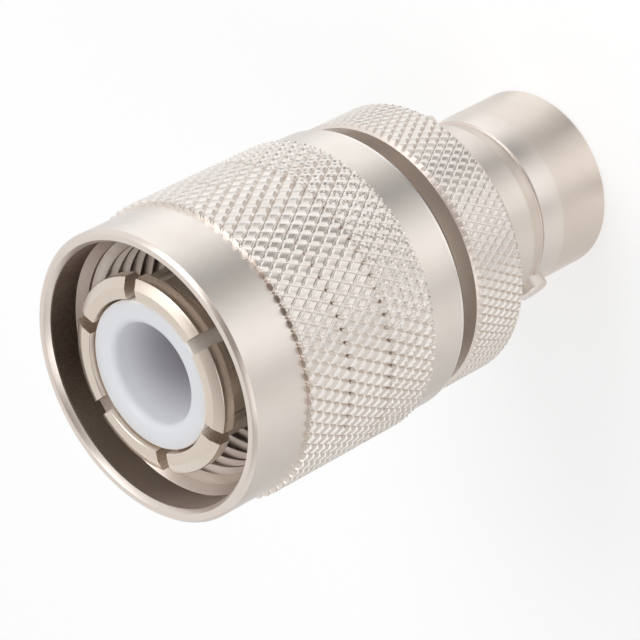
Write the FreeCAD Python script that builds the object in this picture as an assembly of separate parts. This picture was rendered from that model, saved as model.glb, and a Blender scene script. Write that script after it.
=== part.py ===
import FreeCAD, Part
import math
import os

# Between-series coaxial adapter: a plug with a knurled coupling nut at the top and a
# two-lug bayonet jack at the bottom. It stands on the jack's end face. Z is the common
# axis, the origin is the centre of the jack's end face, and the lugs lie along X.
# All lengths are millimetres.

# Lengths along the axis, from the jack's end face upwards
barrel_length = 5.1
relief_cone_length = 1.9
relief_groove_length = 1.47
neck_length = 5.09
flange_length = 4.98
nut_gap = 1.66
nut_length = 21.7

# Bayonet jack: barrel, relief behind it, neck and lugs
barrel_radius = 7.19
barrel_wall = 0.99
barrel_edge_chamfer = 0.2
barrel_mouth_chamfer = 0.35
relief_cone_drop = 0.14
relief_step = 0.22
neck_radius = 7.3
lug_tip_radius = 7.925
lug_radius = 1.25
lug_height = 6.8
lug_chamfer = 0.2

# Knurled flange of the rear shell, bevelled down to the knurl's valleys
flange_radius = 10.85
flange_knurl_depth = 0.31
flange_knurl_count = 52
flange_knurl_rows = 4
flange_front_bevel_length = 0.6
flange_rear_bevel_length = 0.3

# Inside of the rear shell
jack_cavity_depth = 9.5
tail_socket_radius = 7.0
tail_socket_depth = 3.94

# Coupling nut
nut_band_radius = 11.13
front_band_length = 5.17
nut_knurl_radius = 11.5
nut_knurl_rise = 0.03
nut_knurl_length = 12.86
nut_knurl_count = 54
nut_knurl_rows = 11
rim_outer_chamfer = 0.26
rim_outer_chamfer_length = 0.3
rim_inner_chamfer = 0.27
rim_inner_chamfer_length = 0.42
nut_rear_chamfer = 0.32
nut_rear_chamfer_length = 0.42
counterbore_radius = 10.15
counterbore_depth = 2.87
thread_crest_radius = 8.84
thread_length = 8.9
thread_relief_radius = 9.7
thread_relief_length = 2.4

# Hub of the front shell, and the retaining ring between hub and nut
hub_radius = 8.3
hub_stand_out = 0.4
ring_height_in_nut = 3.1
ring_thickness = 0.9
ring_inner_radius = 7.65
ring_outer_radius = 9.0
ring_split_width = 2.4

# Outer contact with spring fingers
contact_recess = 0.28
contact_base_radius = 6.9
contact_base_length = 5.0
contact_collar_radius = 7.35
contact_collar_length = 0.8
finger_bore_radius = 5.87
finger_neck_radius = 6.38
finger_face_radius = 6.72
lip_radius = 7.5
lip_bevel_length = 0.34
lip_length = 0.98
lip_back_length = 0.75
finger_count = 6
slot_width = 1.1
slot_length = 10.2
slot_angle = 22.5

# Gasket round the foot of the outer contact
gasket_thickness = 1.2
gasket_inset = 0.1

# Front insulator, seen in the plug's mouth
insulator_recess = 0.62
insulator_radius = 5.7
mate_socket_radius = 3.85
mate_socket_depth = 9.8

# Rear insulator, the long stem in the jack
jack_stem_radius = 4.2
jack_stem_recess = 1.2
stem_flange_length = 0.9
stem_entry_radius = 1.0
stem_entry_length = 1.2
stem_tip_chamfer = 0.3

# Centre contacts
pin_recess = 5.0
pin_radius = 1.2
pin_length = 4.9
pin_tip_length = 0.9
pin_tip_radius = 0.5
pin_stem_radius = 1.77
collar_radius = 2.4
collar_length = 1.1
socket_contact_radius = 1.3
socket_contact_bore_radius = 0.8
socket_contact_bore_depth = 6.4
socket_slot_width = 0.35
socket_slot_length = 5.0
socket_slot_count = 4
joint_stud_radius = 0.7
joint_stud_length = 2.5
joint_stud_end_gap = 0.2
pin_foot_length = 2.5

# Clearances
fit_gap = 0.03
running_gap = 0.09
bore_gap = 0.05
ring_side_gap = 0.1
ring_radial_gap = 0.15

# How far a cut runs past the piece it is made in, and how deep a knurl is rooted in its core
cut_overrun = 1.0
knurl_root = 0.5

# Heights worked out from the lengths above
barrel_top = barrel_length
groove_bottom = barrel_top + relief_cone_length
neck_bottom = groove_bottom + relief_groove_length
flange_bottom = neck_bottom + neck_length
flange_top = flange_bottom + flange_length
nut_bottom = flange_top + nut_gap
nut_top = nut_bottom + nut_length
thread_top = nut_top - counterbore_depth - (counterbore_radius - thread_crest_radius)
thread_bottom = thread_top - thread_length
relief_bottom = thread_bottom - thread_relief_length
hub_top = relief_bottom + hub_stand_out
ring_bottom = nut_bottom + ring_height_in_nut
socket_floor = flange_top - tail_socket_depth
tail_end = socket_floor + stem_flange_length
contact_bottom = hub_top - contact_base_length
contact_top = nut_top - contact_recess
insulator_top = nut_top - insulator_recess
mate_socket_floor = insulator_top - mate_socket_depth
pin_top = nut_top - pin_recess
collar_top = tail_end + collar_length
pin_foot = tail_end - pin_foot_length
stud_end = pin_foot - joint_stud_length
stem_bottom = jack_stem_recess
socket_contact_bottom = stem_bottom + stem_entry_length + fit_gap


def turned(corners):
    """Solid turned about Z from the (radius, height) corners of its half section."""
    points = [FreeCAD.Vector(radius, 0, height) for radius, height in corners]
    outline = Part.makePolygon(points + points[:1])
    section = Part.Face(outline)
    return section.revolve(FreeCAD.Vector(0, 0, 0), FreeCAD.Vector(0, 0, 1), 360)


def radial_slots(count, width, closed_end, open_end, reach, first_angle):
    """Slitting cuts, round at the closed end and spaced evenly round the axis."""
    low = min(closed_end, open_end)
    high = max(closed_end, open_end)
    flat = Part.makeBox(reach, width, high - low, FreeCAD.Vector(0, -width / 2, low))
    end_centre = FreeCAD.Vector(0, 0, closed_end)
    end = Part.makeCylinder(width / 2, reach, end_centre, FreeCAD.Vector(1, 0, 0))
    slot = flat.fuse(end).removeSplitter()
    slots = []
    for number in range(count):
        copy = slot.copy()
        turn = first_angle + number * 360.0 / count
        copy.rotate(FreeCAD.Vector(0, 0, 0), FreeCAD.Vector(0, 0, 1), turn)
        slots.append(copy)
    return slots


def knurled_ring(valley, crest, count, heights, tapered):
    """Diamond knurl: flat-sided pyramids in crossed rows, one row of corners at each height.

    Crests and valleys take turns round each row and from row to row. A tapered ring
    starts and ends in a row of valleys alone.
    """
    columns = 2 * count
    last_row = len(heights) - 1
    rows = []
    for row, height in enumerate(heights):
        only_valleys = tapered and row in (0, last_row)
        corners = []
        for column in range(columns):
            radius = valley if only_valleys or (row + column) % 2 else crest
            angle = 2 * math.pi * column / columns
            corners.append(FreeCAD.Vector(radius * math.cos(angle), radius * math.sin(angle), height))
        rows.append(corners)
    outlines = [rows[0], rows[last_row]]
    for row in range(last_row):
        for column in range(columns):
            beside = (column + 1) % columns
            low = rows[row][column]
            low_beside = rows[row][beside]
            high = rows[row + 1][column]
            high_beside = rows[row + 1][beside]
            if (row + column) % 2:
                outlines.append([low, low_beside, high_beside])
                outlines.append([low, high_beside, high])
            else:
                outlines.append([low, low_beside, high])
                outlines.append([low_beside, high_beside, high])
    shell = Part.makeShell([Part.Face(Part.makePolygon(line + line[:1])) for line in outlines])
    shell.sewShape()
    core_base = FreeCAD.Vector(0, 0, heights[0] - cut_overrun)
    core_length = heights[last_row] - heights[0] + 2 * cut_overrun
    core = Part.makeCylinder(valley - knurl_root, core_length, core_base)
    return Part.makeSolid(shell).cut(core)


def evenly_spaced(low, high, steps):
    """Heights from low to high in equal steps."""
    return [low + (high - low) * step / steps for step in range(steps + 1)]


def bayonet_lug(angle):
    """One round lug, rooted in the barrel wall and chamfered at its tip."""
    root = barrel_radius - barrel_wall / 2
    lug = turned([
        (0, root),
        (lug_radius, root),
        (lug_radius, lug_tip_radius - lug_chamfer),
        (lug_radius - lug_chamfer, lug_tip_radius),
        (0, lug_tip_radius),
    ])
    lug.rotate(FreeCAD.Vector(0, 0, 0), FreeCAD.Vector(0, 1, 0), 90)
    lug.rotate(FreeCAD.Vector(0, 0, 0), FreeCAD.Vector(0, 0, 1), angle)
    lug.translate(FreeCAD.Vector(0, 0, lug_height))
    return lug


def rear_shell():
    """Knurled flange, neck and bayonet barrel, turned in one piece."""
    cavity_radius = barrel_radius - barrel_wall
    groove_radius = barrel_radius - relief_cone_drop - relief_step
    stem_bore = jack_stem_radius + fit_gap
    knurl_valley = flange_radius - flange_knurl_depth
    flange_core_radius = knurl_valley - knurl_root / 2
    body = turned([
        (cavity_radius + barrel_mouth_chamfer, 0),
        (barrel_radius - barrel_edge_chamfer, 0),
        (barrel_radius, barrel_edge_chamfer),
        (barrel_radius, barrel_top),
        (barrel_radius - relief_cone_drop, groove_bottom),
        (groove_radius, groove_bottom),
        (neck_radius, neck_bottom),
        (neck_radius, flange_bottom),
        (flange_core_radius, flange_bottom),
        (flange_core_radius, flange_top),
        (tail_socket_radius, flange_top),
        (tail_socket_radius, socket_floor),
        (stem_bore, socket_floor),
        (stem_bore, jack_cavity_depth),
        (cavity_radius, jack_cavity_depth),
        (cavity_radius, barrel_mouth_chamfer),
    ])
    knurl_low = flange_bottom + flange_rear_bevel_length
    knurl_high = flange_top - flange_front_bevel_length
    knurl_heights = evenly_spaced(knurl_low, knurl_high, flange_knurl_rows)
    heights = [flange_bottom] + knurl_heights + [flange_top]
    knurl = knurled_ring(knurl_valley, flange_radius, flange_knurl_count, heights, True)
    return body.fuse([knurl, bayonet_lug(0), bayonet_lug(180)]).removeSplitter()


def front_shell():
    """Hub that carries the nut, with a tail screwed into the rear shell."""
    groove_radius = ring_inner_radius - ring_radial_gap
    groove_low = ring_bottom - ring_side_gap
    groove_high = ring_bottom + ring_thickness + ring_side_gap
    line_bore = insulator_radius + bore_gap
    return turned([
        (line_bore, tail_end),
        (tail_socket_radius - fit_gap, tail_end),
        (tail_socket_radius - fit_gap, flange_top),
        (hub_radius, flange_top),
        (hub_radius, groove_low),
        (groove_radius, groove_low),
        (groove_radius, groove_high),
        (hub_radius, groove_high),
        (hub_radius, hub_top),
        (contact_base_radius + fit_gap, hub_top),
        (contact_base_radius + fit_gap, contact_bottom),
        (line_bore, contact_bottom),
    ])


def outer_contact():
    """Spring contact: pressed-in base, thin neck and a bevelled lip, slit into fingers."""
    lip_bottom = contact_top - lip_bevel_length - lip_length
    neck_top = lip_bottom - lip_back_length
    blank = turned([
        (finger_bore_radius, contact_bottom),
        (contact_base_radius, contact_bottom),
        (contact_base_radius, hub_top),
        (contact_collar_radius, hub_top),
        (contact_collar_radius, hub_top + contact_collar_length),
        (finger_neck_radius, hub_top + contact_collar_length),
        (finger_neck_radius, neck_top),
        (lip_radius, lip_bottom),
        (lip_radius, contact_top - lip_bevel_length),
        (finger_face_radius, contact_top),
        (finger_bore_radius, contact_top),
    ])
    root = contact_top - slot_length
    past_tip = contact_top + cut_overrun
    reach = lip_radius + cut_overrun
    return blank.cut(radial_slots(finger_count, slot_width, root, past_tip, reach, slot_angle))


def coupling_nut():
    """Nut that turns on the hub: smooth bands, knurled grip, stepped and threaded bore."""
    hub_bore = hub_radius + running_gap
    groove_radius = ring_outer_radius + ring_radial_gap
    groove_low = ring_bottom - ring_side_gap
    groove_high = ring_bottom + ring_thickness + ring_side_gap
    body = turned([
        (hub_bore, nut_bottom),
        (nut_band_radius - nut_rear_chamfer, nut_bottom),
        (nut_band_radius, nut_bottom + nut_rear_chamfer_length),
        (nut_band_radius, nut_top - rim_outer_chamfer_length),
        (nut_band_radius - rim_outer_chamfer, nut_top),
        (counterbore_radius + rim_inner_chamfer, nut_top),
        (counterbore_radius, nut_top - rim_inner_chamfer_length),
        (counterbore_radius, nut_top - counterbore_depth),
        (thread_crest_radius, thread_top),
        (thread_crest_radius, thread_bottom),
        (thread_relief_radius, thread_bottom),
        (thread_relief_radius, relief_bottom),
        (hub_bore, relief_bottom),
        (hub_bore, groove_high),
        (groove_radius, groove_high),
        (groove_radius, groove_low),
        (hub_bore, groove_low),
    ])
    knurl_valley = nut_band_radius + nut_knurl_rise
    knurl_top = nut_top - front_band_length
    heights = evenly_spaced(knurl_top - nut_knurl_length, knurl_top, nut_knurl_rows)
    knurl = knurled_ring(knurl_valley, nut_knurl_radius, nut_knurl_count, heights, False)
    return body.fuse(knurl).removeSplitter()


def retaining_ring():
    """Flat spring ring, split so that it closes to enter the nut."""
    ring = turned([
        (ring_inner_radius, ring_bottom),
        (ring_outer_radius, ring_bottom),
        (ring_outer_radius, ring_bottom + ring_thickness),
        (ring_inner_radius, ring_bottom + ring_thickness),
    ])
    split_corner = FreeCAD.Vector(0, -ring_split_width / 2, ring_bottom - cut_overrun)
    split_height = ring_thickness + 2 * cut_overrun
    split = Part.makeBox(ring_outer_radius + cut_overrun, ring_split_width, split_height, split_corner)
    return ring.cut(split)


def gasket():
    """Flat rubber ring on the hub's end, round the collar of the outer contact."""
    inner = contact_collar_radius + fit_gap
    outer = hub_radius - gasket_inset
    return turned([
        (inner, hub_top),
        (outer, hub_top),
        (outer, hub_top + gasket_thickness),
        (inner, hub_top + gasket_thickness),
    ])


def front_insulator():
    """White sleeve round the pin, with a deep socket for the mate's insulator."""
    pin_bore = pin_stem_radius + bore_gap
    recess_radius = collar_radius + bore_gap
    recess_top = collar_top + fit_gap
    return turned([
        (recess_radius, tail_end),
        (insulator_radius, tail_end),
        (insulator_radius, insulator_top),
        (mate_socket_radius, insulator_top),
        (mate_socket_radius, mate_socket_floor),
        (pin_bore, mate_socket_floor),
        (pin_bore, recess_top),
        (recess_radius, recess_top),
    ])


def rear_insulator():
    """White stem round the socket contact, held by a flange under the front shell."""
    contact_bore = socket_contact_radius + bore_gap
    entry_top = stem_bottom + stem_entry_length
    return turned([
        (stem_entry_radius, stem_bottom),
        (jack_stem_radius - stem_tip_chamfer, stem_bottom),
        (jack_stem_radius, stem_bottom + stem_tip_chamfer),
        (jack_stem_radius, socket_floor),
        (tail_socket_radius - fit_gap, socket_floor),
        (tail_socket_radius - fit_gap, tail_end),
        (contact_bore, tail_end),
        (contact_bore, entry_top),
        (stem_entry_radius, entry_top),
    ])


def pin_contact():
    """Centre pin of the plug, with the collar that the insulators hold and a stud."""
    pin_bottom = pin_top - pin_length
    return turned([
        (0, stud_end),
        (joint_stud_radius, stud_end),
        (joint_stud_radius, pin_foot),
        (socket_contact_radius, pin_foot),
        (socket_contact_radius, tail_end),
        (collar_radius, tail_end),
        (collar_radius, collar_top),
        (pin_stem_radius, collar_top),
        (pin_stem_radius, pin_bottom),
        (pin_radius, pin_bottom),
        (pin_radius, pin_top - pin_tip_length),
        (pin_tip_radius, pin_top),
        (0, pin_top),
    ])


def socket_contact():
    """Centre socket of the jack, slit at its mouth and screwed to the pin's stud."""
    mouth = socket_contact_bottom
    stud_bore = joint_stud_radius + fit_gap
    stud_bore_end = stud_end - joint_stud_end_gap
    blank = turned([
        (socket_contact_bore_radius, mouth),
        (socket_contact_radius, mouth),
        (socket_contact_radius, pin_foot),
        (stud_bore, pin_foot),
        (stud_bore, stud_bore_end),
        (0, stud_bore_end),
        (0, mouth + socket_contact_bore_depth),
        (socket_contact_bore_radius, mouth + socket_contact_bore_depth),
    ])
    root = mouth + socket_slot_length
    past_mouth = mouth - cut_overrun
    reach = socket_contact_radius + cut_overrun
    return blank.cut(radial_slots(socket_slot_count, socket_slot_width, root, past_mouth, reach, 0))


makers = [
    coupling_nut,
    retaining_ring,
    front_shell,
    gasket,
    outer_contact,
    front_insulator,
    pin_contact,
    rear_insulator,
    socket_contact,
    rear_shell,
]

os.makedirs("parts", exist_ok=True)
for maker in makers:
    shape = maker()
    node = maker.__name__
    shape.exportStep("parts/" + node + ".step")
    print(node, shape.isValid(), len(shape.Solids), round(shape.Volume, 3))
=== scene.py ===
import math

import bmesh
import bpy
import numpy as np
from mathutils import Matrix, Vector


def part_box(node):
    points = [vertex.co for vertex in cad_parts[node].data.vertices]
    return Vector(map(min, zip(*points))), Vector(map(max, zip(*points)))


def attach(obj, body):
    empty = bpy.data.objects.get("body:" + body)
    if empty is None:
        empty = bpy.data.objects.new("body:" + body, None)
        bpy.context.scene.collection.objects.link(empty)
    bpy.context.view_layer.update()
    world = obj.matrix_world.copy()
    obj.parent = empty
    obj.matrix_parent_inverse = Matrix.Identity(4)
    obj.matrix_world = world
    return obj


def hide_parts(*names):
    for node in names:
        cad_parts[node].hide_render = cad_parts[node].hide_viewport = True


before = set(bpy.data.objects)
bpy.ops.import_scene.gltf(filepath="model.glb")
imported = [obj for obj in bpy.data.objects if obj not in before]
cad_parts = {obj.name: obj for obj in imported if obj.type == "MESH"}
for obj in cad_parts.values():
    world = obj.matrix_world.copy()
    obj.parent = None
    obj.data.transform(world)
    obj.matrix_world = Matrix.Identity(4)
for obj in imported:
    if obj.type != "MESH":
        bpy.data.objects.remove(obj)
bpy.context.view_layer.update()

# Lengths are in millimetres up to the point where a mesh is made
MM = 0.001


def node_heights(node):
    """Lowest and highest point of a CAD node, in millimetres."""
    low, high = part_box(node)
    return round(low.z / MM, 3), round(high.z / MM, 3)


# Heights of the adapter, which stands on the jack's end face
nut_bottom, nut_top = node_heights("coupling_nut")
ring_bottom, ring_top = node_heights("retaining_ring")
contact_bottom, contact_top = node_heights("outer_contact")
insulator_bottom, insulator_top = node_heights("front_insulator")
hub_top = node_heights("front_shell")[1]
flange_top = node_heights("rear_shell")[1]
flange_bottom = 13.56
neck_bottom = 8.47
groove_bottom = 7.0
lug_height = 6.8
barrel_top = 5.1

# One seeded source of chance for all meshes, so that each run makes the same ones
random_source = np.random.default_rng(7)


# Meshes

# Points closer than this, in metres, are one point
merge_distance = 2e-7
# Faces that meet at a smaller angle than this are shaded as one, in degrees
smooth_below = 28.0


def angles_of(columns, shift=0.0):
    """Angles of evenly spaced columns round the axis."""
    return (np.arange(columns) + shift) * (2 * math.pi / columns)


def eased(corners, steps=3):
    """Half section whose (radius, height, rounding) corners are rounded by short arcs."""
    points = []
    for index, corner in enumerate(corners):
        here = np.array(corner[:2], float)
        rounding = corner[2] if len(corner) > 2 else 0.0
        if not rounding:
            points.append(here)
            continue
        back = np.array(corners[index - 1][:2], float) - here
        ahead = np.array(corners[(index + 1) % len(corners)][:2], float) - here
        back /= np.linalg.norm(back)
        ahead /= np.linalg.norm(ahead)
        # the arc touches both sides, and start and end lie where it does
        half = math.acos(max(-1.0, min(1.0, float(back @ ahead)))) / 2
        middle = back + ahead
        middle /= np.linalg.norm(middle)
        centre = here + middle * rounding / math.sin(half)
        start = here + back * rounding / math.tan(half) - centre
        end = here + ahead * rounding / math.tan(half) - centre
        first = math.atan2(start[1], start[0])
        sweep = math.atan2(end[1], end[0]) - first
        sweep = (sweep + math.pi) % (2 * math.pi) - math.pi
        for step in range(steps + 1):
            angle = first + sweep * step / steps
            points.append(centre + rounding * np.array([math.cos(angle), math.sin(angle)]))
    return [tuple(point) for point in points]


class Turning:
    """Mesh of a turned piece, made ring by ring.

    Each point has a mark of wear and painted light: above 0 is dirt, in places painted shade; below 0
    is burnished metal, in places a painted highlight.
    """

    def __init__(self, columns):
        self.columns = columns
        self.points = []
        self.faces = []
        self.marks = []
        self.total = 0

    def add(self, points, mark=0.0):
        """Adds points with their marks, and gives their numbers."""
        first = self.total
        self.points.append(np.asarray(points, float))
        self.marks.append(np.broadcast_to(mark, (len(points),)))
        self.total += len(points)
        return np.arange(first, self.total)

    def ring(self, radius, height, columns=None, shift=0.0, mark=0.0):
        """Adds a ring round the axis, turned by a share of a column."""
        columns = columns or self.columns
        angles = angles_of(columns, shift)
        radii = np.broadcast_to(radius, (columns,))
        heights = np.broadcast_to(height, (columns,))
        ring = np.stack([radii * np.cos(angles), radii * np.sin(angles), heights], axis=1)
        return self.add(ring, mark)

    def strip(self, lower, upper):
        """Faces between two rings; one may have a whole number of times the other's columns."""
        if len(lower) == len(upper):
            quads = [lower, np.roll(lower, -1), np.roll(upper, -1), upper]
            self.faces.extend(np.stack(quads, axis=1).tolist())
            return
        coarse, fine = (lower, upper) if len(lower) < len(upper) else (upper, lower)
        ratio = len(fine) // len(coarse)
        for index in range(len(coarse)):
            near = [int(fine[(index * ratio + step) % len(fine)]) for step in range(ratio + 1)]
            pair = [int(coarse[index]), int(coarse[(index + 1) % len(coarse)])]
            face = pair + near[::-1] if coarse is lower else near + pair[::-1]
            self.faces.append(face)

    def cells(self, lower, upper, middle):
        """Four triangles in each cell between two rings, round the cell's middle point."""
        lower_next = np.roll(lower, -1)
        upper_next = np.roll(upper, -1)
        sides = ((lower, lower_next), (lower_next, upper_next), (upper_next, upper), (upper, lower))
        for first, second in sides:
            self.faces.extend(np.stack([first, second, middle], axis=1).tolist())

    def band(self, points, mark=0.0):
        """Rings through a run of (radius, height) points, joined by strips."""
        marks = mark if isinstance(mark, list) else [mark] * len(points)
        rings = [
            self.ring(radius, height, mark=share)
            for (radius, height), share in zip(points, marks)]
        for lower, upper in zip(rings, rings[1:]):
            self.strip(lower, upper)
        return rings[0], rings[-1]

    def cap(self, ring, up=True):
        """One flat face on a ring."""
        self.faces.append((ring if up else ring[::-1]).tolist())

    def piece(self, name, material, body, replaced=()):
        """Blender object that rides on a body, and stands for the CAD nodes it replaces."""
        mesh = bpy.data.meshes.new(name)
        coordinates = np.concatenate(self.points) * MM
        mesh.from_pydata(coordinates.tolist(), [], self.faces)
        wear_and_shade = mesh.attributes.new("wear_and_shade", "FLOAT", "POINT")
        wear_and_shade.data.foreach_set("value", np.concatenate(self.marks).astype(np.float32))
        work = bmesh.new()
        work.from_mesh(mesh)
        bmesh.ops.remove_doubles(work, verts=work.verts, dist=merge_distance)
        work.to_mesh(mesh)
        work.free()
        mesh.materials.append(material)
        mesh.shade_smooth()
        mesh.set_sharp_from_angle(angle=math.radians(smooth_below))
        made = bpy.data.objects.new(name, mesh)
        bpy.context.scene.collection.objects.link(made)
        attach(made, body)
        if replaced:
            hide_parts(*replaced)
        return made


# Nodes of materials, floor and world

def add_node(tree, kind, inputs=None, **settings):
    made = tree.nodes.new(kind)
    for name, value in settings.items():
        setattr(made, name, value)
    for name, value in (inputs or {}).items():
        set_input(tree, made.inputs[name], value)
    return made


def set_input(tree, socket, value):
    """Links a socket to another node's output, or sets its own value."""
    if isinstance(value, bpy.types.NodeSocket):
        tree.links.new(value, socket)
    else:
        socket.default_value = value


def maths(tree, operation, first, second=0.0, third=0.0):
    made = add_node(tree, "ShaderNodeMath", {0: first, 1: second, 2: third}, operation=operation)
    return made.outputs[0]


def map_range(tree, value, start, end, low=0.0, high=1.0):
    """The value's place between start and end, as a number from low to high."""
    inputs = {0: value, 1: start, 2: end, 3: low, 4: high}
    return add_node(tree, "ShaderNodeMapRange", inputs).outputs[0]


def length_of(tree, vector):
    return add_node(tree, "ShaderNodeVectorMath", {0: vector}, operation="LENGTH").outputs["Value"]


def along(tree, vector, axis):
    """How far a vector reaches along an axis."""
    made = add_node(tree, "ShaderNodeVectorMath", {0: vector, 1: axis}, operation="DOT_PRODUCT")
    return made.outputs["Value"]


def noise(tree, place, scale, detail, roughness=0.5):
    """Noise with a scale in waves per metre."""
    inputs = {"Vector": place, "Scale": scale, "Detail": detail, "Roughness": roughness}
    return add_node(tree, "ShaderNodeTexNoise", inputs).outputs["Fac"]


def mix_colours(tree, factor, first, second, blend="MIX"):
    # a Mix node has its colours in inputs 6 and 7 and their mix in output 2
    made = add_node(tree, "ShaderNodeMix", data_type="RGBA", blend_type=blend)
    for index, value in ((0, factor), (6, first), (7, second)):
        set_input(tree, made.inputs[index], value)
    return made.outputs[2]


def colour_ramp(tree, factor, stops):
    """Colour between the two nearest of some (position, colour) stops."""
    made = add_node(tree, "ShaderNodeValToRGB", {0: factor})
    elements = made.color_ramp.elements
    while len(elements) < len(stops):
        elements.new(0.5)
    for element, (position, colour) in zip(elements, stops):
        element.position = position
        element.color = colour
    return made.outputs[0]


def mix_shaders(tree, factor, first, second):
    return add_node(tree, "ShaderNodeMixShader", {0: factor, 1: first, 2: second}).outputs[0]


def add_bump(tree, shader, height, strength, distance):
    inputs = {"Height": height, "Strength": strength, "Distance": distance}
    bump = add_node(tree, "ShaderNodeBump", inputs).outputs[0]
    tree.links.new(bump, shader.inputs["Normal"])


def turned_coordinates(tree):
    """Object coordinates, height, and distance from the axis, which a turned surface follows."""
    place = add_node(tree, "ShaderNodeTexCoord").outputs["Object"]
    parts = add_node(tree, "ShaderNodeSeparateXYZ", {0: place}).outputs
    across = add_node(tree, "ShaderNodeCombineXYZ", {"X": parts["X"], "Y": parts["Y"]}).outputs[0]
    return place, parts["Z"], length_of(tree, across)


def start_material(name):
    material = bpy.data.materials.new(name)
    material.use_nodes = True
    tree = material.node_tree
    shader = tree.nodes["Principled BSDF"]
    return material, tree, shader


# Materials

stain_colour = (0.66, 0.58, 0.50, 1)
# the dirt colours also serve as painted shade, and the burnished colour as a painted highlight
thin_dirt_and_shade_colour = (0.70, 0.545, 0.455, 1)
thick_dirt_and_shade_colour = (0.15, 0.098, 0.070, 1)
burnished_and_highlight_colour = (1.0, 0.985, 0.975, 1)
# Share of its roughness that burnished metal loses
burnish_smoothing = 0.40


def nickel(name, colour, roughness, line_depth=0.35):
    """Satin plating over turned brass: fine turning lines, faint stains, and marks of wear, which in
    places are painted shade and painted highlights.
    """
    material, tree, shader = start_material(name)
    place, height, distance = turned_coordinates(tree)
    across_lines = add_node(tree, "ShaderNodeCombineXYZ", {"X": height, "Y": distance}).outputs[0]
    lines = noise(tree, across_lines, scale=9000.0, detail=3.0, roughness=0.7)
    mottle = noise(tree, place, scale=420.0, detail=4.0, roughness=0.55)
    grain = noise(tree, place, scale=9000.0, detail=2.0, roughness=0.6)
    patches = map_range(tree, mottle, start=0.42, end=0.75, low=0.0, high=0.16)
    base = mix_colours(tree, patches, colour, stain_colour)
    # marks above 0 are dirt, in places painted shade, which is darker where it is thicker
    wear_and_shade = add_node(tree, "ShaderNodeAttribute", attribute_name="wear_and_shade").outputs["Fac"]
    uneven = maths(tree, "MULTIPLY_ADD", grain, 0.9, 0.4)
    dirt_and_shade = maths(tree, "MAXIMUM", maths(tree, "MULTIPLY", wear_and_shade, uneven), 0.0)
    thickness = maths(tree, "MAXIMUM", wear_and_shade, 0.0)
    dirt_and_shade_colour = mix_colours(tree, thickness, thin_dirt_and_shade_colour, thick_dirt_and_shade_colour)
    base = mix_colours(tree, dirt_and_shade, base, dirt_and_shade_colour)
    # marks below 0 are burnished metal, in places a painted highlight, which is paler and glossier
    burnish_and_highlight = maths(tree, "MAXIMUM", maths(tree, "MULTIPLY", wear_and_shade, -1.0), 0.0)
    base = mix_colours(tree, burnish_and_highlight, base, burnished_and_highlight_colour)
    gloss = maths(tree, "MINIMUM", maths(tree, "MULTIPLY", burnish_and_highlight, 5.0), 1.0)
    tree.links.new(base, shader.inputs["Base Color"])
    shader.inputs["Metallic"].default_value = 1.0
    rough = maths(tree, "MULTIPLY_ADD", lines, 0.12, roughness - 0.06)
    rough = maths(tree, "MULTIPLY_ADD", mottle, 0.10, rough)
    smoothing = maths(tree, "MULTIPLY_ADD", gloss, -burnish_smoothing, 1.0)
    rough = maths(tree, "MULTIPLY", rough, smoothing)
    tree.links.new(rough, shader.inputs["Roughness"])
    relief = maths(tree, "MULTIPLY_ADD", grain, 0.35, lines)
    add_bump(tree, shader, relief, line_depth, distance=0.00001)
    return material


def white_fluoropolymer(name):
    """Waxy white plastic into which a little light soaks, with painted shade down its socket and
    painted bounce light on its side.
    """
    material, tree, shader = start_material(name)
    place, height, distance = turned_coordinates(tree)
    # painted shade: palest just below the sleeve's tip, and duller and bluer further down its socket
    paling_start = 0.032
    paling_length = 0.010
    rise = maths(tree, "MULTIPLY_ADD", height, 1 / paling_length, -paling_start / paling_length)
    shade = colour_ramp(tree, rise, [
        (0.10, (0.55, 0.55, 0.62, 1)),
        (0.50, (0.64, 0.64, 0.70, 1)),
        (0.78, (0.80, 0.81, 0.84, 1)),
        (0.925, (0.76, 0.77, 0.80, 1))])
    cloud = noise(tree, place, scale=300.0, detail=2.0)
    base = mix_colours(tree, maths(tree, "MULTIPLY", cloud, 0.12), shade, (0.90, 0.90, 0.92, 1))
    # painted bounce light: its side is tinted the colour of the metal round it
    side = map_range(tree, distance, start=0.0055, end=0.0057)
    base = mix_colours(tree, side, base, (1.0, 0.93, 0.87, 1))
    tree.links.new(base, shader.inputs["Base Color"])
    shader.inputs["Roughness"].default_value = 0.50
    shader.inputs["Specular IOR Level"].default_value = 0.25
    shader.inputs["Subsurface Weight"].default_value = 0.35
    shader.inputs["Subsurface Radius"].default_value = (0.0012, 0.0012, 0.0013)
    shader.inputs["Subsurface Scale"].default_value = 1.0
    return material


def plain(name, colour, metallic, roughness, scale, depth):
    """Simple finish with a little grain, for pieces that stay inside."""
    material, tree, shader = start_material(name)
    place = add_node(tree, "ShaderNodeTexCoord").outputs["Object"]
    grain = noise(tree, place, scale, detail=3.0)
    darker = tuple(channel * 0.8 for channel in colour[:3]) + (1,)
    base = mix_colours(tree, grain, darker, colour)
    tree.links.new(base, shader.inputs["Base Color"])
    shader.inputs["Metallic"].default_value = metallic
    rough = maths(tree, "MULTIPLY_ADD", grain, 0.1, roughness - 0.05)
    tree.links.new(rough, shader.inputs["Roughness"])
    add_bump(tree, shader, grain, depth, distance=0.00002)
    return material


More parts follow.
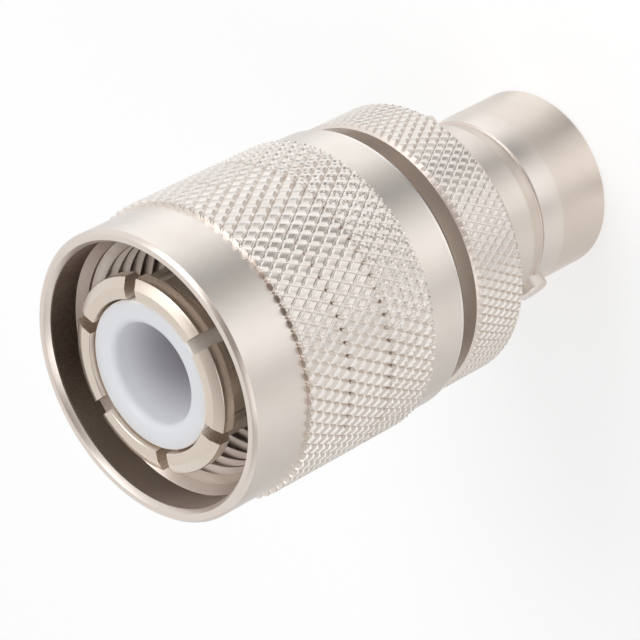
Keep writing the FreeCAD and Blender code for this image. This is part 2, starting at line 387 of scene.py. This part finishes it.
satin = nickel("satin_nickel", (0.86, 0.81, 0.765, 1), roughness=0.31)
shell_satin = nickel("shell_satin_nickel", (0.85, 0.795, 0.75, 1), roughness=0.38)
contact_plating = nickel(
    "contact_plating", (0.76, 0.68, 0.60, 1), roughness=0.24, line_depth=0.2)
fluoropolymer = white_fluoropolymer("white_fluoropolymer")
gold = plain(
    "gold_plating", (0.86, 0.62, 0.28, 1), metallic=1.0, roughness=0.25, scale=2500.0, depth=0.1)
spring_steel = plain(
    "spring_steel", (0.42, 0.40, 0.38, 1), metallic=1.0, roughness=0.38, scale=3000.0, depth=0.2)
rubber = plain(
    "black_rubber", (0.035, 0.033, 0.032, 1), metallic=0.0, roughness=0.75, scale=4000.0, depth=0.3)


# Diamond knurls

# A knurl has two sets of grooves. A phase counts the grooves of one set, so that whole
# numbers lie in a groove. The knurl's rings are a pitch divided by phase_steps apart.
phase_steps = 8
# Half the width of a groove, where its walls bend and how deep they are there
groove_half = 0.25
groove_bend = 0.125
groove_bend_drop = 0.36
# How far from its bottom a groove gets its painted highlight, or on two sides its painted shade
groove_sheen_reach = 0.2
# Down to this share of the depth, a point counts as the top of a diamond
top_drop = 0.3


def from_groove(phase):
    """Distance from the nearest groove, in pitches: 0 in a groove, 0.5 on a ridge."""
    return np.abs(phase - np.round(phase))


def knurl_drop(first, second):
    """Share of the knurl's depth: grooves with slightly bent walls, between flat tops."""
    near = np.minimum(from_groove(first), from_groove(second))
    return np.interp(near, [0.0, groove_bend, groove_half], [1.0, groove_bend_drop, 0.0])


def groove_burr(phase, other):
    """1 along both edges of a groove, where it isn't crossed by another."""
    edge = np.abs(from_groove(phase) - groove_half) < 0.01
    uncrossed = from_groove(other) > groove_half - 0.01
    return np.where(edge & uncrossed, 1.0, 0.0)


def knurl_rows(turning, count, pitch, rows, bottom, radius_at, mark_at, shift=0):
    """Diamond knurl of two crossing sets of grooves, moved down its rows by a shift."""
    fine = count * phase_steps
    columns = np.arange(fine) / phase_steps
    rings = []
    middles = []
    for row in range(rows + 1):
        height = bottom + row * pitch / phase_steps
        first = columns - (row + shift) / phase_steps
        second = columns + (row + shift) / phase_steps
        radius = radius_at(first, second, height, row in (0, rows))
        rings.append(turning.ring(radius, height, fine, mark=mark_at(first, second, height)))
        # half-way to the next ring lie the middle points of the cells
        if row < rows:
            half = 0.5 / phase_steps
            height += half * pitch
            second = second + 2 * half
            radius = radius_at(first, second, height, False)
            mark = mark_at(first, second, height)
            middles.append(turning.ring(radius, height, fine, shift=0.5, mark=mark))
    for row in range(rows):
        turning.cells(rings[row], rings[row + 1], middles[row])
    return rings[0], rings[-1]


def towards(angle, centre, start):
    """How near an angle is to a centre in degrees: 0 up to a cosine of start, 1 from 0.95."""
    return np.interp(np.cos(angle - math.radians(centre)), [start, 0.95], [0.0, 1.0])


def knurl_shade_and_sheen(first, second, count):
    """Marks of a knurl: grooves painted paler and glossier as a painted highlight against their
    shade, but on two sides one set of them painted dark as shade.
    """
    in_first = np.clip(1 - from_groove(first) / groove_sheen_reach, 0, 1)
    in_second = np.clip(1 - from_groove(second) / groove_sheen_reach, 0, 1)
    angle = (first + second) * (math.pi / count)
    low_side_shade = towards(angle, centre=22, start=0.70)
    far_side_shade = towards(angle, centre=132, start=0.90)
    mark = 0.09 * low_side_shade - 0.06
    # painted highlight down the grooves, and painted shade in one set of them on the low and far
    # sides
    mark -= (0.60 - 0.80 * low_side_shade) * in_first + (0.60 - 0.80 * far_side_shade) * in_second
    return np.maximum(mark, -0.66)


# Coupling nut

nut_band_radius = 11.13
nut_front_band_length = 5.17
nut_bore_radius = 8.39
nut_rear_chamfer = 0.32
nut_rear_chamfer_length = 0.42
rim_outer_chamfer = 0.26
rim_outer_chamfer_length = 0.30
rim_inner_chamfer = 0.27
rim_inner_chamfer_length = 0.42
counterbore_radius = 10.15
counterbore_depth = 2.87
counterbore_floor = nut_top - counterbore_depth
ring_groove_radius = 9.15
ring_side_gap = 0.1

# Its thread, whose ridge is a piece of its own that is rooted a little inside the bore's wall
thread_pitch = 1.27
thread_crest_radius = 8.84
thread_bore_radius = 9.53
thread_root_radius = 9.60
thread_length = 8.9
thread_relief_radius = 9.70
thread_relief_length = 2.4
thread_run_in = 0.45
thread_run_out = 0.25
thread_bottom = counterbore_floor - (counterbore_radius - thread_crest_radius) - thread_length

# Its knurl, with two seams where the tool was set again
nut_knurl_crest = 11.479
nut_knurl_depth = 0.22
nut_knurl_count = 72
nut_columns = nut_knurl_count * 4
nut_knurl_pitch = 1.68
nut_knurl_rows = 61
nut_knurl_shift = 2
nut_knurl_top = nut_top - nut_front_band_length
nut_knurl_bottom = nut_knurl_top - nut_knurl_rows * nut_knurl_pitch / phase_steps
nut_knurl_rough = 0.004
nut_burr = 0.012
nut_cross_burr = 0.006
knurl_margin = 0.12
front_wall_length = 0.024
front_row_length = 0.25
seam_one_height = 32.74
seam_one_width = 0.25
seam_two_height = 28.54
seam_two_reach = 0.3
second_track_depth = 0.24
second_track_rough = 0.014


def nut_knurl_radius_at(first, second, height, at_end):
    drop = knurl_drop(first, second)
    behind = height < seam_two_height
    if behind:
        # second, shallower track of one tool behind the seam
        drop = np.maximum(drop, second_track_depth * knurl_drop(first + 0.5, second + 0.5))
    if at_end:
        # the grooves run out on to the band
        return nut_knurl_crest - (nut_knurl_crest - nut_band_radius) * drop
    radius = nut_knurl_crest - nut_knurl_depth * drop
    radius += nut_burr * groove_burr(first, second) + nut_cross_burr * groove_burr(second, first)
    rough_top = second_track_rough if behind else nut_knurl_rough
    rough = np.where(drop > top_drop, nut_knurl_rough, rough_top)
    return radius + rough * (random_source.random(radius.shape) - 0.8)


def nut_side(column, centre, start):
    """How much a column of the nut's knurl lies on one side of it."""
    return towards(column * (2 * math.pi / nut_knurl_count), centre, start)


def shaded_side(column):
    """How much a column lies where the knurl's front edge is dark."""
    return nut_side(column, centre=71, start=0.84)


def nut_wear_and_shade_at(first, second, height):
    """Marks of the nut's knurl: dirt at its seams, specks behind them, painted shade on the front
    edge's shaded side, over the knurl's painted light and shade.
    """
    mark = knurl_shade_and_sheen(first, second, nut_knurl_count)
    apart = np.maximum(from_groove(first), from_groove(second))
    chance = random_source.random(mark.shape)
    column = (first + second) / 2
    grimy = nut_side(column, centre=49, start=0.55)
    if -seam_one_width < height - seam_one_height < 0.01:
        seam_dirt = 0.25 + 0.7 * grimy
        mark = np.where(apart < 0.13, seam_dirt, mark)
    if height < seam_two_height + seam_two_reach:
        top = knurl_drop(first, second) < top_drop
        dirty = top & (chance < 0.17)
        bright = top & (chance > 0.90)
        mark = np.where(dirty, 0.5, mark)
        mark = np.where(bright, -0.5, mark)
    if abs(height - seam_two_height) < seam_two_reach:
        seam_dirt = 0.55 + 0.35 * grimy
        crossing = (apart < 0.20) & (chance < 0.7)
        mark = np.where(crossing, seam_dirt, mark + 0.12)
    # painted shade on the last rows, on the side where the front edge is shaded
    if height > nut_knurl_top - front_row_length:
        edge_shade = 0.15 * shaded_side(column)
        mark = np.where(apart < 0.45, np.maximum(mark, edge_shade), mark)
    return mark


def nut_outside_below():
    """Half section of the nut's rear, and its marks: a painted highlight along the bevel."""
    outside = nut_band_radius - 0.1
    bevel_end = nut_bottom + 0.5
    band_start = nut_bottom + 0.6
    points = eased([
        (nut_bore_radius, nut_bottom),
        (nut_band_radius - nut_rear_chamfer, nut_bottom, 0.06),
        (nut_band_radius, nut_bottom + nut_rear_chamfer_length, 0.10),
        (nut_band_radius, band_start),
        (nut_band_radius, nut_knurl_bottom - knurl_margin),
    ])
    # painted highlight: the rear bevel is made paler and glossier
    marks = [-0.7 if radius > outside and height < bevel_end else 0.0 for radius, height in points]
    return points, marks


def nut_outside_above():
    """Half section of the front band and the rim, and its marks: a little dirt on the rim."""
    outside = nut_band_radius - 0.1
    band_end = nut_top - 0.34
    rim_start = band_end + 0.01
    points = eased([
        (nut_band_radius, nut_knurl_top + knurl_margin),
        (nut_band_radius, band_end),
        (nut_band_radius, nut_top - rim_outer_chamfer_length, 0.05),
        (nut_band_radius - rim_outer_chamfer, nut_top, 0.05),
        (counterbore_radius + rim_inner_chamfer, nut_top, 0.04),
        (counterbore_radius, nut_top - rim_inner_chamfer_length, 0.05),
    ])
    marks = [0.0 if radius > outside and height < rim_start else 0.26 for radius, height in points]
    return points, marks


def nut_inside():
    """Half section of the nut's inside, and its marks: dirt with painted shade all through, darkest
    on one side of the mouth.
    """
    wall_top = nut_top - 0.6
    wall_radius = counterbore_radius - 0.01
    relief_bottom = thread_bottom - thread_relief_length
    points = eased([
        (counterbore_radius, wall_top),
        (counterbore_radius, counterbore_floor, 0.05),
        (thread_bore_radius, counterbore_floor - (counterbore_radius - thread_bore_radius)),
        (thread_bore_radius, thread_bottom),
        (thread_relief_radius, thread_bottom),
        (thread_relief_radius, relief_bottom),
        (nut_bore_radius, relief_bottom),
        (nut_bore_radius, ring_top + ring_side_gap),
        (ring_groove_radius, ring_top + ring_side_gap),
        (ring_groove_radius, ring_bottom - ring_side_gap),
        (nut_bore_radius, ring_bottom - ring_side_gap),
    ])
    # dirt and painted shade on the mouth's wall, darker on one side
    wall_dirt_and_shade = 0.48 + 0.42 * towards(angles_of(nut_columns), centre=215, start=0.2)
    marks = [wall_dirt_and_shade if radius > wall_radius else 0.5 for radius, height in points]
    return points, marks


def make_nut():
    """Nut with smooth bands in front of and behind its knurl, open at both ends."""
    turning = Turning(nut_columns)
    start, band_low = turning.band(*nut_outside_below())
    fine = nut_knurl_count * phase_steps
    wall_low = turning.ring(nut_band_radius, nut_knurl_bottom, fine)
    turning.strip(band_low, wall_low)
    first, last = knurl_rows(
        turning, nut_knurl_count, nut_knurl_pitch, nut_knurl_rows, nut_knurl_bottom,
        nut_knurl_radius_at, nut_wear_and_shade_at, nut_knurl_shift)
    turning.strip(wall_low, first)
    # front wall of the knurl, with painted shade on the diamonds' ends on its shaded side
    phase = (nut_knurl_rows + nut_knurl_shift) / phase_steps
    columns = np.arange(fine) / phase_steps
    edge = nut_knurl_radius_at(columns - phase, columns + phase, nut_knurl_top, True)
    on_diamond = edge > nut_band_radius + 0.03
    painted_shade = np.where(on_diamond, 0.78 * shaded_side(columns), 0.0)
    wall_edge = turning.ring(edge, nut_knurl_top + front_wall_length / 2, fine, mark=painted_shade)
    wall_high = turning.ring(nut_band_radius, nut_knurl_top + front_wall_length, fine, mark=painted_shade)
    turning.strip(last, wall_edge)
    turning.strip(wall_edge, wall_high)
    band_high, mouth = turning.band(*nut_outside_above())
    turning.strip(wall_high, band_high)
    bore, end = turning.band(*nut_inside())
    turning.strip(mouth, bore)
    turning.strip(end, start)
    return turning.piece("coupling_nut_detail", satin, "nut", ["coupling_nut"])


def make_thread():
    """Right-hand ridge of the nut's thread, cut off by the lead-in cone."""
    steps = 96
    fade_steps = 30
    cone_gap = 0.012
    # radius, and offset from the ridge's middle, from the rounded crest to the root
    upper_half = [
        (thread_crest_radius, 0.13), (8.90, 0.185), (9.525, 0.556), (thread_root_radius, 0.60)]
    lower_half = [(radius, -offset) for radius, offset in reversed(upper_half)]
    section = lower_half + upper_half
    # painted shade in the roots of the thread, none on its crest
    painted_shade = [0.7, 0.6, 0.1, 0.0, 0.0, 0.1, 0.6, 0.7]
    low = thread_bottom + thread_run_in
    turns = (counterbore_floor - thread_run_out - low) / thread_pitch
    turning = Turning(len(section))
    rings = []
    for step in range(int(turns * steps) + 1):
        angle = 2 * math.pi * step / steps
        middle = low + thread_pitch * step / steps
        fade = min(1.0, step / fade_steps)
        ring = []
        for radius, offset in section:
            height = middle + offset
            cone = counterbore_radius - (counterbore_floor - height)
            reach = thread_root_radius - (thread_root_radius - radius) * fade
            reach = max(reach, cone + cone_gap)
            ring.append((reach * math.cos(angle), reach * math.sin(angle), height))
        rings.append(turning.add(ring, painted_shade))
    for lower, upper in zip(rings, rings[1:]):
        turning.strip(upper, lower)
    turning.cap(rings[0])
    turning.cap(rings[-1], up=False)
    return turning.piece("nut_thread", satin, "nut")


# Rear shell

barrel_radius = 7.19
barrel_edge_chamfer = 0.20
barrel_mouth_radius = 6.55
jack_cavity_radius = 6.20
jack_cavity_depth = 9.5
stem_bore_radius = 4.23
tail_socket_radius = 7.0
tail_socket_floor = 14.60
cone_end_radius = 7.05
groove_radius = 6.86
groove_end_radius = 7.24
neck_radius = 7.30

# Its flange, with bevels in front and behind
flange_radius = 10.84
flange_front_edge = 10.54
flange_rear_edge = 10.55
flange_knurl_depth = 0.18
flange_knurl_count = 90
flange_knurl_pitch = 1.33
flange_knurl_rows = 30
flange_knurl_rough = 0.004
flange_burr = 0.005
flange_cross_burr = 0.003
flange_front_slope = 0.33 / 0.38
flange_rear_slope = 0.32 / 0.30
shell_columns = flange_knurl_count * 2

# Its two lugs
lug_radius = 1.25
lug_root = 6.6
lug_tip = 7.925
lug_chamfer = 0.2
lug_cap_radius = 0.02
lug_columns = 40


def flange_limit(height):
    """Radius left by the flange's front and rear bevels at a height."""
    front = flange_front_edge + (flange_top - height) * flange_front_slope
    rear = flange_rear_edge + (height - flange_bottom) * flange_rear_slope
    return min(front, rear)


def flange_radius_at(first, second, height, at_end):
    radius = flange_radius - flange_knurl_depth * knurl_drop(first, second)
    radius += flange_burr * groove_burr(first, second)
    radius += flange_cross_burr * groove_burr(second, first)
    if at_end:
        return np.full(radius.shape, flange_front_edge)
    radius = radius + flange_knurl_rough * (random_source.random(radius.shape) - 0.8)
    return np.minimum(radius, flange_limit(height))


def flange_wear_and_sheen_at(first, second, height):
    """Marks of the flange: painted light and shade as on the nut's knurl, with dirt on its bevels."""
    if flange_limit(height) < flange_radius:
        return np.full(first.shape, 0.16)
    return knurl_shade_and_sheen(first, second, flange_knurl_count) - 0.04


def add_lug(turning, angle):
    """Round lug with a chamfered tip, set into the barrel's wall."""
    section = eased([
        (lug_radius, lug_root),
        (lug_radius, lug_tip - lug_chamfer, 0.05),
        (lug_radius - lug_chamfer, lug_tip, 0.05),
        (lug_cap_radius, lug_tip)])
    rings = []
    for radius, reach in section:
        ring = []
        for step in range(lug_columns):
            turn = 2 * math.pi * step / lug_columns
            side = radius * math.cos(turn)
            rise = radius * math.sin(turn)
            ring.append((
                reach * math.cos(angle) - side * math.sin(angle),
                reach * math.sin(angle) + side * math.cos(angle),
                lug_height + rise))
        rings.append(turning.add(ring))
    for lower, upper in zip(rings, rings[1:]):
        turning.strip(lower, upper)
    turning.cap(rings[0], up=False)
    turning.cap(rings[-1])


def shell_shade_and_sheen_at(height, barrel_side_shade):
    """Mark at a height: painted shade on one side of the barrel, faint painted highlights on the cone
    and at the groove's edge, the groove and its slope up to the neck darker, and none on the neck.
    """
    if height < barrel_top - 0.2:
        return barrel_side_shade
    if height < groove_bottom - 0.1:
        return -0.02
    if height <= groove_bottom:
        return -0.12
    if height < neck_bottom - 0.05:
        return 0.26
    return 0.0


def make_rear_shell():
    """Barrel with two lugs, neck and knurled flange, bored through."""
    turning = Turning(shell_columns)
    below = eased([
        (barrel_mouth_radius, 0.0, 0.06),
        (barrel_radius - barrel_edge_chamfer, 0.0, 0.06),
        (barrel_radius, barrel_edge_chamfer, 0.10),
        (barrel_radius, barrel_top - 0.25),
        (barrel_radius, barrel_top, 0.15),
        (cone_end_radius, groove_bottom, 0.04),
        (groove_radius, groove_bottom + 0.10, 0.10),
        (groove_end_radius, neck_bottom - 0.10, 0.05),
        (neck_radius, neck_bottom, 0.04),
        (neck_radius, flange_bottom, 0.30),
        (flange_rear_edge, flange_bottom),
    ])
    inside = eased([
        (flange_front_edge, flange_top),
        (tail_socket_radius, flange_top),
        (tail_socket_radius, tail_socket_floor),
        (stem_bore_radius, tail_socket_floor),
        (stem_bore_radius, jack_cavity_depth),
        (jack_cavity_radius, jack_cavity_depth),
        (jack_cavity_radius, 0.35, 0.08),
    ])
    # painted shade down one side of the barrel
    barrel_side_shade = 0.24 * towards(angles_of(shell_columns), centre=50, start=0.0)
    start, low_edge = turning.band(below, [shell_shade_and_sheen_at(height, barrel_side_shade) for radius, height in below])
    knurl_bottom = flange_top - flange_knurl_rows * flange_knurl_pitch / phase_steps
    first, last = knurl_rows(
        turning, flange_knurl_count, flange_knurl_pitch, flange_knurl_rows, knurl_bottom,
        flange_radius_at, flange_wear_and_sheen_at)
    turning.strip(low_edge, first)
    high_edge, end = turning.band(inside, [0.16, 0.30] + [0.0] * (len(inside) - 2))
    turning.strip(last, high_edge)
    turning.strip(end, start)
    add_lug(turning, 0.0)
    add_lug(turning, math.pi)
    return turning.piece("rear_shell_detail", shell_satin, "shell", ["rear_shell"])


# Outer contact

contact_base_radius = 6.90
contact_collar_radius = 7.35
contact_collar_length = 0.8
finger_count = 6
finger_parts = 14
finger_bore_radius = 5.87
finger_neck_radius = 6.38
finger_face_radius = 6.72
lip_radius = 7.50
lip_bevel_length = 0.34
lip_length = 0.98
lip_back_length = 0.75
slot_width = 1.1
slot_length = 10.2
slot_angle = 22.5


def finger_ring(radius, height):
    """Points of a ring of fingers, between slots that are equally wide at every radius."""
    half = math.radians(180 / finger_count) - math.asin(slot_width / 2 / radius)
    ring = []
    for finger in range(finger_count):
        centre = math.radians(slot_angle + (finger + 0.5) * 360 / finger_count)
        for part in range(finger_parts + 1):
            angle = centre - half + 2 * half * part / finger_parts
            ring.append((radius * math.cos(angle), radius * math.sin(angle), height))
    return ring


def make_contact():
    """Spring fingers: rings broken by slots whose two walls are parallel."""
    slot_root = contact_top - slot_length
    lip_top = contact_top - lip_bevel_length
    lip_bottom = lip_top - lip_length
    collar_top = hub_top + contact_collar_length
    section = eased([
        (finger_bore_radius, contact_bottom),
        (contact_base_radius, contact_bottom),
        (contact_base_radius, hub_top),
        (contact_collar_radius, hub_top),
        (contact_collar_radius, collar_top),
        (finger_neck_radius, collar_top),
        (finger_neck_radius, slot_root),
        (finger_neck_radius, lip_bottom - lip_back_length, 0.3),
        (lip_radius, lip_bottom, 0.10),
        (lip_radius, lip_top, 0.12),
        (finger_face_radius, contact_top, 0.12),
        (finger_bore_radius, contact_top, 0.10),
        (finger_bore_radius, slot_root),
    ])
    slotted = [height > slot_root - 0.001 for radius, height in section]
    columns = finger_count * (finger_parts + 1)
    turning = Turning(columns)
    rings = [turning.add(finger_ring(radius, height)).tolist() for radius, height in section]
    # faces between rings, except where a slot is open
    for index in range(len(section)):
        above = (index + 1) % len(section)
        lower, upper = rings[index], rings[above]
        open_here = slotted[index] and slotted[above]
        for column in range(columns):
            if open_here and column % (finger_parts + 1) == finger_parts:
                continue
            following = (column + 1) % columns
            turning.faces.append([lower[column], lower[following], upper[following], upper[column]])
    # walls and floor of each slot
    run = [ring for ring, is_slotted in zip(rings, slotted) if is_slotted]
    for finger in range(finger_count):
        start = finger * (finger_parts + 1)
        end = start + finger_parts
        after = (end + 1) % columns
        turning.faces.append([ring[start] for ring in run])
        turning.faces.append([ring[end] for ring in run[::-1]])
        turning.faces.append([run[0][end], run[0][after], run[-1][after], run[-1][end]])
    return turning.piece(
        "outer_contact_detail", contact_plating, "shell", ["outer_contact"])


# Front insulator

insulator_radius = 5.70
mate_socket_radius = 3.85
mate_socket_depth = 9.8
pin_bore_radius = 1.82
collar_seat_radius = 2.45
collar_seat_depth = 1.13
insulator_columns = 160


def make_insulator():
    """White sleeve with a wide socket in front and a seat for the pin's collar behind."""
    turning = Turning(insulator_columns)
    socket_floor = insulator_top - mate_socket_depth
    collar_seat = insulator_bottom + collar_seat_depth
    section = eased([
        (collar_seat_radius, insulator_bottom),
        (insulator_radius, insulator_bottom),
        (insulator_radius, insulator_top, 0.12),
        (mate_socket_radius, insulator_top, 0.60),
        (mate_socket_radius, socket_floor),
        (pin_bore_radius, socket_floor),
        (pin_bore_radius, collar_seat),
        (collar_seat_radius, collar_seat),
    ], steps=4)
    start, end = turning.band(section)
    turning.strip(end, start)
    return turning.piece(
        "front_insulator_detail", fluoropolymer, "shell", ["front_insulator"])


make_nut()
make_thread()
make_rear_shell()
make_contact()
make_insulator()

# The other nodes keep their CAD shape and only get a finish
finishes = {
    "front_shell": shell_satin,
    "pin_contact": gold,
    "socket_contact": gold,
    "rear_insulator": fluoropolymer,
    "gasket": rubber,
    "retaining_ring": spring_steel,
}
for node_name, finish in finishes.items():
    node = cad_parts[node_name]
    for slot in node.material_slots:
        slot.material = finish


# Floor, world, lamps and camera

floor_reach = 3.0
# Bearing of the studio's front, from which the cards' bearings count, in degrees
studio_front = 79
white = (1, 1, 1, 1)
# Grey cards that metal mirrors: bearing in degrees, brightness, and warmth from 0 to 1
cards = [
    (-180, 0.93, 0.0), (-160, 0.61, 0.3), (-140, 0.53, 0.9), (-120, 0.54, 1.0),
    (-100, 0.59, 1.0), (-80, 0.69, 1.0), (-60, 0.75, 1.0), (-40, 0.49, 1.0),
    (-20, 0.92, 0.7), (0, 0.93, 0.5), (18, 0.65, 0.6), (38, 0.22, 0.8),
    (56, 0.49, 0.6), (76, 0.96, 0.4), (98, 1.00, 0.0), (120, 0.95, 0.0),
    (140, 0.63, 0.0), (160, 0.74, 0.0), (180, 0.93, 0.0)]
card_strength = 1.18
# At this distance from the axis, in metres, the cards have drawn in to half their bearing
card_draw = 0.006
# How bright the cards are at some distances from the adapter's axis, in metres
card_rings = [
    (0.0120, (0.98, 0.96, 0.94, 1)), (0.0164, white), (0.0188, (0.93, 0.93, 0.93, 1)),
    (0.0240, (0.90, 0.90, 0.90, 1)), (0.0280, white)]
card_rings_reach = 0.04


def ray_kinds(tree):
    """Whether a ray comes from the camera, and whether metal or glass mirrors it."""
    rays = add_node(tree, "ShaderNodeLightPath").outputs
    mirrored = maths(tree, "MAXIMUM", rays["Is Glossy Ray"], rays["Is Transmission Ray"])
    return rays["Is Camera Ray"], mirrored


def card_colours(tree):
    """Colour of the floor as metal sees it: soft cards, laid out round the adapter."""
    place = add_node(tree, "ShaderNodeTexCoord").outputs["Object"]
    parts = add_node(tree, "ShaderNodeSeparateXYZ", {0: place}).outputs
    distance = length_of(tree, place)
    # close to the adapter the cards draw in towards the studio's front
    drawing_in = maths(tree, "ADD", maths(tree, "DIVIDE", card_draw, distance), 1.0)
    bearing = maths(tree, "ARCTAN2", parts["Y"], parts["X"])
    bearing = maths(tree, "MULTIPLY", bearing, drawing_in)
    share = maths(tree, "MULTIPLY_ADD", bearing, 0.5 / math.pi, 0.5)
    stops = []
    for degrees, level, warmth in cards:
        colour = (level, level * (1 - 0.025 * warmth), level * (1 - 0.06 * warmth), 1)
        stops.append(((degrees + 180) / 360, colour))
    round_it = colour_ramp(tree, share, stops)
    # right beside the adapter they are evened out, then they dip and brighten again
    evened = map_range(tree, distance, start=0.0135, end=0.0160, low=0.35, high=0.0)
    round_it = mix_colours(tree, evened, round_it, (0.80, 0.785, 0.765, 1))
    outward_share = maths(tree, "MULTIPLY", distance, 1 / card_rings_reach)
    ring_stops = [(reach / card_rings_reach, colour) for reach, colour in card_rings]
    outwards = colour_ramp(tree, outward_share, ring_stops)
    return mix_colours(tree, 1.0, round_it, outwards, blend="MULTIPLY")


def make_floor():
    """White floor with the adapter's shadow. Metal mirrors soft grey cards on it instead."""
    mesh = bpy.data.meshes.new("floor")
    corners = [(-1, -1), (1, -1), (1, 1), (-1, 1)]
    points = [(x * floor_reach, y * floor_reach, 0) for x, y in corners]
    mesh.from_pydata(points, [], [(0, 1, 2, 3)])
    floor = bpy.data.objects.new("floor", mesh)
    floor.rotation_euler = (0, 0, math.radians(studio_front))
    bpy.context.scene.collection.objects.link(floor)
    material = bpy.data.materials.new("floor")
    material.use_nodes = True
    tree = material.node_tree
    tree.nodes.clear()
    from_camera, mirrored = ray_kinds(tree)
    mirror_inputs = {"Color": card_colours(tree), "Strength": card_strength}
    in_mirror = add_node(tree, "ShaderNodeEmission", mirror_inputs).outputs[0]
    lit = add_node(tree, "ShaderNodeBsdfDiffuse", {"Color": (0.82, 0.82, 0.82, 1)}).outputs[0]
    # the camera sees white, only part of it lit, so that the shadow stays faint
    glow = add_node(tree, "ShaderNodeEmission", {"Color": white, "Strength": 0.55}).outputs[0]
    half_lit = add_node(tree, "ShaderNodeBsdfDiffuse", {"Color": (0.5, 0.5, 0.5, 1)}).outputs[0]
    to_camera = add_node(tree, "ShaderNodeAddShader", {0: glow, 1: half_lit}).outputs[0]
    seen = mix_shaders(tree, from_camera, lit, to_camera)
    surface = mix_shaders(tree, mirrored, seen, in_mirror)
    add_node(tree, "ShaderNodeOutputMaterial", {"Surface": surface})
    mesh.materials.append(material)


def studio_colours(tree):
    """Colour of the world as metal sees it: pale, dark high on one side, with a soft box."""
    direction = add_node(tree, "ShaderNodeTexCoord").outputs["Generated"]
    rise = add_node(tree, "ShaderNodeSeparateXYZ", {0: direction}).outputs["Z"]
    above = map_range(tree, rise, start=0.25, end=0.55)
    around = mix_colours(tree, above, (0.97, 0.97, 0.97, 1), (0.86, 0.84, 0.82, 1))
    near_side = map_range(tree, along(tree, direction, (0.19, 0.98, 0)), start=-0.5, end=0.4)
    shade = maths(tree, "MULTIPLY", near_side, above)
    around = mix_colours(tree, shade, around, (0.20, 0.155, 0.13, 1))
    # soft box high up beyond the adapter, which the bevels of the spring fingers mirror
    to_box = along(tree, direction, (-0.415, -0.198, 0.888))
    in_box = map_range(tree, to_box, start=0.945, end=0.980)
    return mix_colours(tree, in_box, around, (1.6, 1.6, 1.6, 1))


def background(tree, colour, strength):
    return add_node(tree, "ShaderNodeBackground", {"Color": colour, "Strength": strength}).outputs[0]


def make_world():
    """World that gives soft light, is white to the camera and shows metal a studio."""
    world = bpy.data.worlds.new("studio")
    bpy.context.scene.world = world
    world.use_nodes = True
    tree = world.node_tree
    tree.nodes.clear()
    from_camera, mirrored = ray_kinds(tree)
    soft_light = background(tree, white, 0.62)
    in_mirror = background(tree, studio_colours(tree), 1.0)
    to_camera = background(tree, white, 1.0)
    unseen = mix_shaders(tree, mirrored, soft_light, in_mirror)
    surface = mix_shaders(tree, from_camera, unseen, to_camera)
    add_node(tree, "ShaderNodeOutputWorld", {"Surface": surface})


def make_lamp(name, place, target, width, power):
    """Square soft lamp that looks at a target."""
    lamp = bpy.data.lights.new(name, "AREA")
    lamp.shape = "SQUARE"
    lamp.size = width
    lamp.energy = power
    made = bpy.data.objects.new(name, lamp)
    bpy.context.scene.collection.objects.link(made)
    made.location = place
    look = Vector(target) - Vector(place)
    made.rotation_mode = "QUATERNION"
    made.rotation_quaternion = look.to_track_quat("-Z", "Y")


def make_camera():
    """Camera at the photograph's viewing angle: 79 degrees round the adapter, 38 up."""
    camera = bpy.data.cameras.new("camera")
    camera.lens = 200.38
    camera.sensor_width = 36.0
    camera.clip_start = 0.01
    camera.clip_end = 10.0
    made = bpy.data.objects.new("camera", camera)
    bpy.context.scene.collection.objects.link(made)
    place = (0.03901, 0.20070, 0.18737)
    right = Vector((0.55442, 0.45787, -0.69496))
    up = Vector((-0.82008, 0.44278, -0.36251))
    back = right.cross(up)
    turn = Matrix((right, up, back)).transposed()
    made.matrix_world = Matrix.Translation(place) @ turn.to_4x4()
    bpy.context.scene.camera = made


make_floor()
make_world()
make_lamp("key", (-0.25, 0.18, 0.38), target=(0, 0, 0.03), width=0.30, power=0.8)
make_lamp("fill", (0.35, 0.25, 0.25), target=(0, 0, 0.02), width=0.30, power=0.35)
make_camera()
bpy.context.scene.view_settings.view_transform = "Standard"
